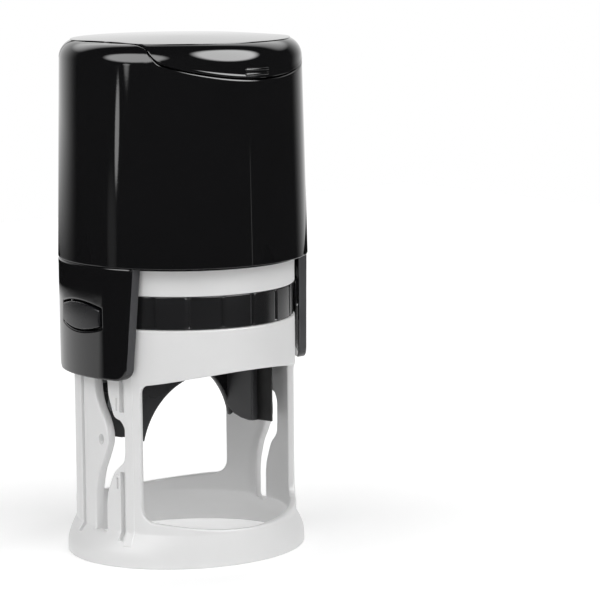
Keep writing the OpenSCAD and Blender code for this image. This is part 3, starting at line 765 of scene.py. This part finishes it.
tray = {"outR": 23.0, "inR": 19.7, "bandDeg": 64.2, "low": 49.5, "high": 56.22, "edge": 0.15, "corner": 0.3,
        "cornerRows": 6, "outlineStep": 0.5, "step": 0.3, "sharp": 50,
        "flutes": 17.8, "fluteAt": 1.2, "fluteWide": 0.7, "fluteDeep": 0.35,
        "bodyR": 20.9, "bodyHalf": 19.0, "wall": 0.85, "front": 1.2, "wallEdge": 0.2, "wallStep": 1.0,
        "floor": 54.75, "floorEdge": 0.15, "floorStep": 1.2, "arcRows": 60, "arcStep": 0.8}
inkPad = {"r": 19.4, "half": 17.9, "low": 50.41, "high": 54.6, "edge": 0.5, "crown": 0.1, "step": 0.7}


def bandOuter(u, z, d):
    # cylinder with a shallow half-round groove at every flute angle
    pitch, start = np.radians([tray["flutes"], tray["fluteAt"]]) * tray["outR"]
    near = np.abs((u - start + pitch / 2) % pitch - pitch / 2) / (tray["fluteWide"] / 2)
    groove = tray["fluteDeep"] * np.sqrt(np.maximum(1 - near ** 2, 0))
    return turned(tray["outR"] - d - groove, z, u / tray["outR"])


def bandInner(u, z, d):  # plain cylinder
    return turned(tray["inR"] + d, z, u / tray["outR"])


def padFace(x, y, d):  # lower face, lowest in the middle and rising with the square of the radius
    return np.stack([x, y, inkPad["low"] + d + inkPad["crown"] * (x * x + y * y) / inkPad["r"] ** 2], 1)


def lens(r, half):
    # circle cut by two uprights at plus and minus half, seen from above
    start = math.atan2(math.sqrt(r * r - half * half), half)
    a = np.linspace(start, math.pi - start, tray["arcRows"])
    arc = np.stack([r * np.cos(a), r * np.sin(a)], 1)
    return even(np.vstack([arc, -arc]), tray["arcStep"])


def buildTray():
    # the band lies on cylinders, the tray's wall, floor and pad between level planes
    w = np.radians(tray["bandDeg"]) * tray["outR"]
    tall = (tray["low"], tray["high"])
    band = box((-w, w), tall, tray["corner"], tray["cornerRows"], tray["outlineStep"])
    meshPiece("padBand", plate(band, [], bandOuter, bandInner, tray["edge"], tray["step"]),
              "pad", "black_satin", ("pad_tray",), "black_bright", tray["sharp"])
    wall = lens(tray["bodyR"], tray["bodyHalf"])
    hollow = lens(tray["bodyR"] - tray["front"], tray["bodyHalf"] - tray["wall"])
    meshPiece("padTrayWall", plate(
        wall, [hollow], flatAt(2, tray["floor"], -1), flatAt(2, tray["low"], 1),
        tray["wallEdge"], tray["wallStep"]), "pad", "black_satin")
    meshPiece("padTrayFloor", plate(
        wall, [], flatAt(2, tray["high"], -1), flatAt(2, tray["floor"], 1),
        tray["floorEdge"], tray["floorStep"]), "pad", "black_satin")
    pad = meshPiece("inkPad", plate(
        lens(inkPad["r"], inkPad["half"]), [], padFace, flatAt(2, inkPad["high"], -1),
        inkPad["edge"], inkPad["step"]), "pad", "ink_felt", ("ink_pad",))


buildTray()
print("ink tray made")


# die holder, its foam cushion and the return spring

holder = {"cheekX": 17.2, "cheekIn": 15.1, "cheekY": (-3.5, 5.8), "wingIn": 16.7, "wingY": (-8.2, -3.3),
          "wingEdge": 0.2, "plateZ": 40.51, "archR": 16.2,
          # lowest height, and how far above it the gussets and the wings end on the outside
          "low": 25.0, "lowRise": (0.6, 0.3),
          # gussets: side of the lintel, range of y, height of the arch's centre
          "gussets": {"dieHolder": (1, -7.0, -5.6, 21.1), "dieHolderRear": (-1, 5.0, 6.4, 22.3)},
          # wavy lower edge of a cheek: y and z
          "foot": ((-3.5, 25.05), (-2.2, 24.9), (0.5, 25.1), (3.0, 25.7), (5.0, 27.1), (5.8, 27.6)),
          "edge": 0.3, "step": 0.9, "outlineStep": 0.6, "archRows": 40, "discR": 17.6, "discZ": (40.5, 43.1),
          "discEdge": 0.35, "discStep": 1.2, "circleSteps": 160}
cushion = {"r": 17.45, "z": (43.12, 44.58), "edge": 0.35, "step": 1.0}
spring = {"r": 5.2, "wire": 0.6, "low": 59.75, "high": 102.1, "turns": 8.0, "endTurn": 0.2, "eased": 0.25,
          "keep": 0.29, "rows": 420, "sides": 16, "tipRows": 4}


def buildHolder():
    w, low, top, radius = holder["cheekX"], holder["low"], holder["plateZ"], holder["archR"]
    edge, step, fine = holder["edge"], holder["step"], holder["outlineStep"]
    archRise, wingRise = holder["lowRise"]
    # gusset: half an arch from one cheek to the middle, then a level lintel to the other cheek
    for name, (turnBy, y0, y1, archZ) in holder["gussets"].items():
        x = np.linspace(-math.sqrt(radius ** 2 - (low - archZ) ** 2), 0, holder["archRows"])
        arch = np.stack([x, archZ + np.sqrt(radius ** 2 - x * x)], 1)
        gusset = np.vstack([[(-w, low + archRise)], arch, [(w, archZ + radius), (w, top), (-w, top)]])
        meshPiece(name, plate(
            even(gusset * (turnBy, 1), fine), [], flatAt(1, y0, 1), flatAt(1, y1, -1), edge, step),
            "die", "black_satin", ("die_holder",) if turnBy > 0 else ())
    # cheek: upright plate with a wavy lower edge, and beside it a thinner wing
    for side, word in bothSides:
        outer = flatAt(0, side * w, -side)
        y0, y1 = holder["cheekY"]
        line = even(np.vstack([holder["foot"], [(y1, top), (y0, top)]]) * (side, 1), fine)
        # the cheek gets the lighter grey finish, painted light on its face
        meshPiece("dieHolderCheek" + word, plate(
            line, [], outer, flatAt(0, side * holder["cheekIn"], side), edge, step),
            "die", "black_satin", (), "black_painted_lit")
        y0, y1 = holder["wingY"]
        line = even(np.array([(y0, low + wingRise), (y1, low), (y1, top), (y0, top)]) * (side, 1), fine)
        # the wing sits in the recess and gets the darker finish of painted shade
        meshPiece("dieHolderWing" + word, plate(
            line, [], outer, flatAt(0, side * holder["wingIn"], side), holder["wingEdge"], step),
            "die", "black_satin", (), "black_painted_shade")
    # disc and cushion: circles between level planes
    t = np.linspace(0, 2 * math.pi, holder["circleSteps"], endpoint=False)
    circle = np.stack([np.cos(t), np.sin(t)], 1)
    z0, z1 = holder["discZ"]
    meshPiece("dieHolderDisc", plate(
        circle * holder["discR"], [], flatAt(2, z1, -1), flatAt(2, z0, 1),
        holder["discEdge"], holder["discStep"]), "die", "black_satin")
    z0, z1 = cushion["z"]
    foam = meshPiece("dieCushion", plate(
        circle * cushion["r"], [], flatAt(2, z1, -1), flatAt(2, z0, 1),
        cushion["edge"], cushion["step"]), "die", "foam", ("die_cushion",))


def buildSpring():
    # round wire carried along a helix whose pitch eases off at both ends, with the wire's tips drawn in
    rows, wire, turns, cut = spring["rows"], spring["wire"], spring["turns"], spring["endTurn"]
    t = np.linspace(0, 1, rows)
    a = (2 * math.pi * turns * t)[:, None]
    rise = smoothStep((t * turns - cut) / (turns - 2 * cut)) * spring["eased"] + t * (1 - spring["eased"])
    z = spring["low"] + wire + (spring["high"] - spring["low"] - 2 * wire) * rise
    size = wire * np.sqrt(np.clip(np.minimum(t, 1 - t) * rows / spring["tipRows"], 0, 1))[:, None]
    phi = np.linspace(0, 2 * math.pi, spring["sides"], endpoint=False)
    r = spring["r"] + size * np.cos(phi)
    points = np.stack([r * np.cos(a), r * np.sin(a), z[:, None] + size * np.sin(phi)], -1).reshape(-1, 3)
    coil = meshPiece("returnSpring", (points, gridFaces(rows, spring["sides"])),
                     "base", "steel", ("return_spring",))
    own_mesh(coil)


buildHolder()
buildSpring()

# plain solids that stay get a softened edge of this width in mm and their slot's finish
kept = {"deck_plate": (0.2, "white_plastic"), "drive_yoke": (0.3, "black_satin"),
        "spring_cup": (0.15, "black_satin"), "index_card": (0.05, "card"), "die_plate": (0.05, "die_rubber"),
        "axle_pin_left": (0.2, "steel"), "axle_pin_right": (0.2, "steel"),
        "guide_pin_left": (0.2, "steel"), "guide_pin_right": (0.2, "steel")}
keptJoin, keptAngle = 0.001, 40  # mm, degrees
for name, (width, slot) in kept.items():
    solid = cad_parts[name]
    solid.data.materials.clear()
    solid.data.materials.append(finishes[slot])
    solid.modifiers.new("weld", "WELD").merge_threshold = keptJoin * mm
    soft = solid.modifiers.new("softEdge", "BEVEL")
    soft.width, soft.segments = width * mm, 2
    soft.limit_method, soft.angle_limit = "ANGLE", math.radians(keptAngle)
print("inner pieces made")


# camera at the photo's angle: degrees, mm, and the focal length in pixels of a frame that many pixels wide

view = {"azimuth": -39.0, "elevation": 8.51, "roll": -0.45, "distance": 615.31, "focal": 2922.96,
        "frame": 600, "shiftX": 24.47, "aimZ": 52.09, "sensor": 36.0, "clip": (0.01, 20)}


def heading(azimuth, elevation):  # unit vector; azimuth 0 is the front, turning to the right
    a, e = math.radians(azimuth), math.radians(elevation)
    return Vector((math.sin(a) * math.cos(e), -math.cos(a) * math.cos(e), math.sin(e)))


def placeCamera():
    # the camera lies at its distance along the heading from the aim, and is rolled about that line
    back, side = heading(view["azimuth"], view["elevation"]), heading(view["azimuth"] + 90, 0)
    over = back.cross(side)
    c, s = math.cos(math.radians(view["roll"])), math.sin(math.radians(view["roll"]))
    aim = Vector((0, 0, view["aimZ"])) + view["shiftX"] * side
    optics = bpy.data.cameras.new("camera")
    optics.sensor_width = view["sensor"]
    optics.lens = view["focal"] * view["sensor"] / view["frame"]
    optics.clip_start, optics.clip_end = view["clip"]
    camera = bpy.data.objects.new("camera", optics)
    bpy.context.scene.collection.objects.link(camera)
    turnTo = Matrix((side * c + over * s, over * c - side * s, back)).transposed().to_4x4()
    camera.matrix_world = Matrix.Translation((aim + back * view["distance"]) * mm) @ turnTo
    bpy.context.scene.camera = camera


placeCamera()


# studio: a white table, a white backdrop behind it and three soft boxes, the one behind dim

# sizes in m; a range of four maps its first two values to its last two
studio = {"table": 0.5, "tableZ": -0.00002, "tint": "#f4f4f4", "darkTint": "#1c1c1c", "darkSide": -27.0,
          "glow": 0.24, "sheen": 0.14, "ambient": 0.22, "backTurn": 9.0, "lampAim": 0.07,
          "darkFrom": (-0.01, 0.02, 0.0, 1.0), "nearTable": (0.12, 0.17, 0.0, 1.0),
          "farTable": (0.37, 0.405, 0.0, 1.0), "white": (0.03, 0.1, 0.06, 0.27),
          "backdrop": (0.5, 0.98, 0.02, 1.0), "backHigh": (0.45, 0.92, 1.0, 0.06),
          "backLow": (-0.125, -0.075, 0.1, 1.0), "backSide": (-0.1, 0.1, 0.0, 1.0)}
limits = ("From Min", "From Max", "To Min", "To Max")
eased = {"interpolation_type": "SMOOTHSTEP"}
lamps = {  # azimuth, elevation, distance m, width m, height m, radiance
    "softBoxLeft": (-88, 42, 1.0, 1.05, 0.62, 2.05),
    "softBoxFront": (4, 42, 1.0, 1.05, 0.62, 2.3),
    "softBoxBack": (141, 40, 1.0, 1.05, 0.62, 0.8),
}
# what a polished surface sees of the lamps: azimuth, elevation, half width and half height at unit distance,
# roll, share of it that is even, radiance
panels = {
    "boxLeft": (-84, 28, 0.66, 0.5, 0, 0.4, 5.2),
    "boxFront": (16, 37, 0.62, 0.74, 0, 0.4, 9.5),
    "boxBack": (141, 44, 1.4, 0.42, 0, 0.0, 2.2),
    "standLeft": (-88.5, -0.8, 0.08, 0.024, 0, 0.2, 3.0),
    "sheetLeft": (-98.7, -3.05, 0.056, 0.018, 14, 0.3, 3.6),
    "dimLeft": (-105, -5.2, 0.11, 0.03, 0, 0.0, 0.22),
    "standFront": (29.5, -5.2, 0.007, 0.034, 0, 0.6, 0.6),
}


def seenPanel(tree, ray, panel):
    # direction laid on the plane that faces the panel, then an ellipse with a soft edge
    azimuth, elevation, wide, tall, roll, evenShare, radiance = panel
    out, right = heading(azimuth, elevation), heading(azimuth + 90, 0)
    up = out.cross(right)
    c, s = math.cos(math.radians(roll)), math.sin(math.radians(roll))
    ahead, *along = (
        addNode(tree, "VectorMath", {"operation": "DOT_PRODUCT"}, {0: ray, 1: axis})["Value"]
        for axis in (out, (right * c + up * s) / wide, (up * c - right * s) / tall))
    away = 0.0
    for part in along:
        part = addNode(tree, "Math", {"operation": "DIVIDE"}, {0: part, 1: ahead})[0]
        away = addNode(tree, "Math", {"operation": "MULTIPLY_ADD"},
                       {0: part, 1: part, 2: away})[0]
    glow = addNode(tree, "MapRange", eased, {
        "Value": away, **dict(zip(limits, (evenShare, 1.0, radiance, 0.0)))})["Result"]
    facing = addNode(tree, "Math", {"operation": "GREATER_THAN"}, {0: ahead, 1: 0.0})[0]
    return addNode(tree, "Math", {"operation": "MULTIPLY"}, {0: glow, 1: facing})[0]


def buildTable():
    h = studio["table"]
    mesh = bpy.data.meshes.new("table")
    mesh.from_pydata([(-h, -h, 0), (h, -h, 0), (h, h, 0), (-h, h, 0)], [], [(0, 1, 2, 3)])
    table = bpy.data.objects.new("table", mesh)
    table.location = (0, 0, studio["tableZ"])
    bpy.context.scene.collection.objects.link(table)
    material = bpy.data.materials.new("table, white matt card")
    tree = emptyTree(material)
    path = addNode(tree, "LightPath")
    where = addNode(tree, "TexCoord")["Object"]
    ahead = addNode(tree, "VectorMath", {"operation": "DOT_PRODUCT"},
                    {0: where, 1: heading(studio["darkSide"], 0)})["Value"]
    reach = addNode(tree, "VectorMath", {"operation": "LENGTH"}, {0: where})["Value"]
    dark, outside, beyond, white = (
        addNode(tree, "MapRange", {}, {"Value": value, **dict(zip(limits, studio[key]))})["Result"]
        for key, value in (("darkFrom", ahead), ("nearTable", reach), ("farTable", reach), ("white", reach)))
    # polished pieces see a white sheet behind the object and darkness on the camera's side
    for operation, other in (("MULTIPLY", outside), ("MAXIMUM", beyond), ("MULTIPLY", path["Is Glossy Ray"])):
        dark = addNode(tree, "Math", {"operation": operation}, {0: dark, 1: other})[0]
    tint = addNode(tree, "Mix", {"data_type": "RGBA"},
                   {0: dark, 6: linear(studio["tint"]), 7: linear(studio["darkTint"])})[2]
    flat = addNode(tree, "BsdfDiffuse", {}, {"Color": tint})
    # the table gives off some light of its own, a little more where polish or the camera sees it;
    # for the camera that grows away from the object, so that its soft shadow stays
    lit, sheet = (addNode(tree, "Math", {"operation": "SUBTRACT"}, {0: whole, 1: dark})[0]
                  for whole in (1.0, path["Is Glossy Ray"]))
    strength = 0.0
    for flag, more in ((lit, studio["glow"]), (sheet, studio["sheen"]), (path["Is Camera Ray"], white)):
        strength = addNode(tree, "Math", {"operation": "MULTIPLY_ADD"},
                           {0: flag, 1: more, 2: strength})[0]
    glow = addNode(tree, "Emission", {}, {"Strength": strength})
    both = addNode(tree, "AddShader", {}, {0: flat[0], 1: glow[0]})
    addNode(tree, "OutputMaterial", {}, {"Surface": both[0]})
    mesh.materials.append(material)


def buildWorld():
    # the camera sees plain white, polish sees the backdrop and the panels, and the rest gets an even light
    world = bpy.data.worlds.new("studio")
    bpy.context.scene.world = world
    tree = emptyTree(world)
    path = addNode(tree, "LightPath")
    ray = addNode(tree, "TexCoord")["Generated"]
    behind, aside = (
        addNode(tree, "VectorMath", {"operation": "DOT_PRODUCT"}, {0: ray, 1: way})["Value"]
        for way in (-heading(view["azimuth"] + studio["backTurn"], 0), heading(view["azimuth"] + 90, 0)))
    height = addNode(tree, "SeparateXYZ", {}, {"Vector": ray})["Z"]
    middle, upper, foot, right = (
        addNode(tree, "MapRange", how, {"Value": value, **dict(zip(limits, studio[key]))})["Result"]
        for key, value, how in (("backdrop", behind, eased), ("backHigh", height, eased),
                                ("backLow", height, {}), ("backSide", aside, {})))
    # the backdrop fades towards its sides and top, and on the left it ends above the table
    polished = addNode(tree, "Math", {"operation": "MAXIMUM"}, {0: foot, 1: right})[0]
    steps = [("MULTIPLY", middle), ("MULTIPLY", upper)]
    steps += [("ADD", seenPanel(tree, ray, panel)) for panel in panels.values()]
    for operation, other in steps:
        polished = addNode(tree, "Math", {"operation": operation}, {0: polished, 1: other})[0]
    mirror = addNode(tree, "Math", {"operation": "MAXIMUM"},
                     {0: path["Is Glossy Ray"], 1: path["Is Transmission Ray"]})[0]
    strength = studio["ambient"]
    for flag, other in ((mirror, polished), (path["Is Camera Ray"], 1.0)):
        strength = addNode(tree, "Mix", {"data_type": "FLOAT"},
                           {0: flag, 2: strength, 3: other})[0]
    sky = addNode(tree, "Background", {}, {"Color": (1, 1, 1, 1), "Strength": strength})
    addNode(tree, "OutputWorld", {}, {"Surface": sky[0]})


def buildLamps():
    # soft boxes that face the object; power from radiance over the box's area
    for name, (azimuth, elevation, distance, wide, tall, radiance) in lamps.items():
        out = heading(azimuth, elevation)
        lamp = bpy.data.lights.new(name, "AREA")
        lamp.shape, lamp.size, lamp.size_y = "RECTANGLE", wide, tall
        lamp.energy = radiance * math.pi * wide * tall
        stand = bpy.data.objects.new(name, lamp)
        stand.location = out * distance + Vector((0, 0, studio["lampAim"]))
        stand.rotation_euler = out.to_track_quat("Z", "Y").to_euler()
        stand.visible_glossy = False  # the panels stand for it there
        bpy.context.scene.collection.objects.link(stand)


bpy.context.scene.view_settings.view_transform = "Standard"
buildTable()
buildWorld()
buildLamps()
print("studio made")
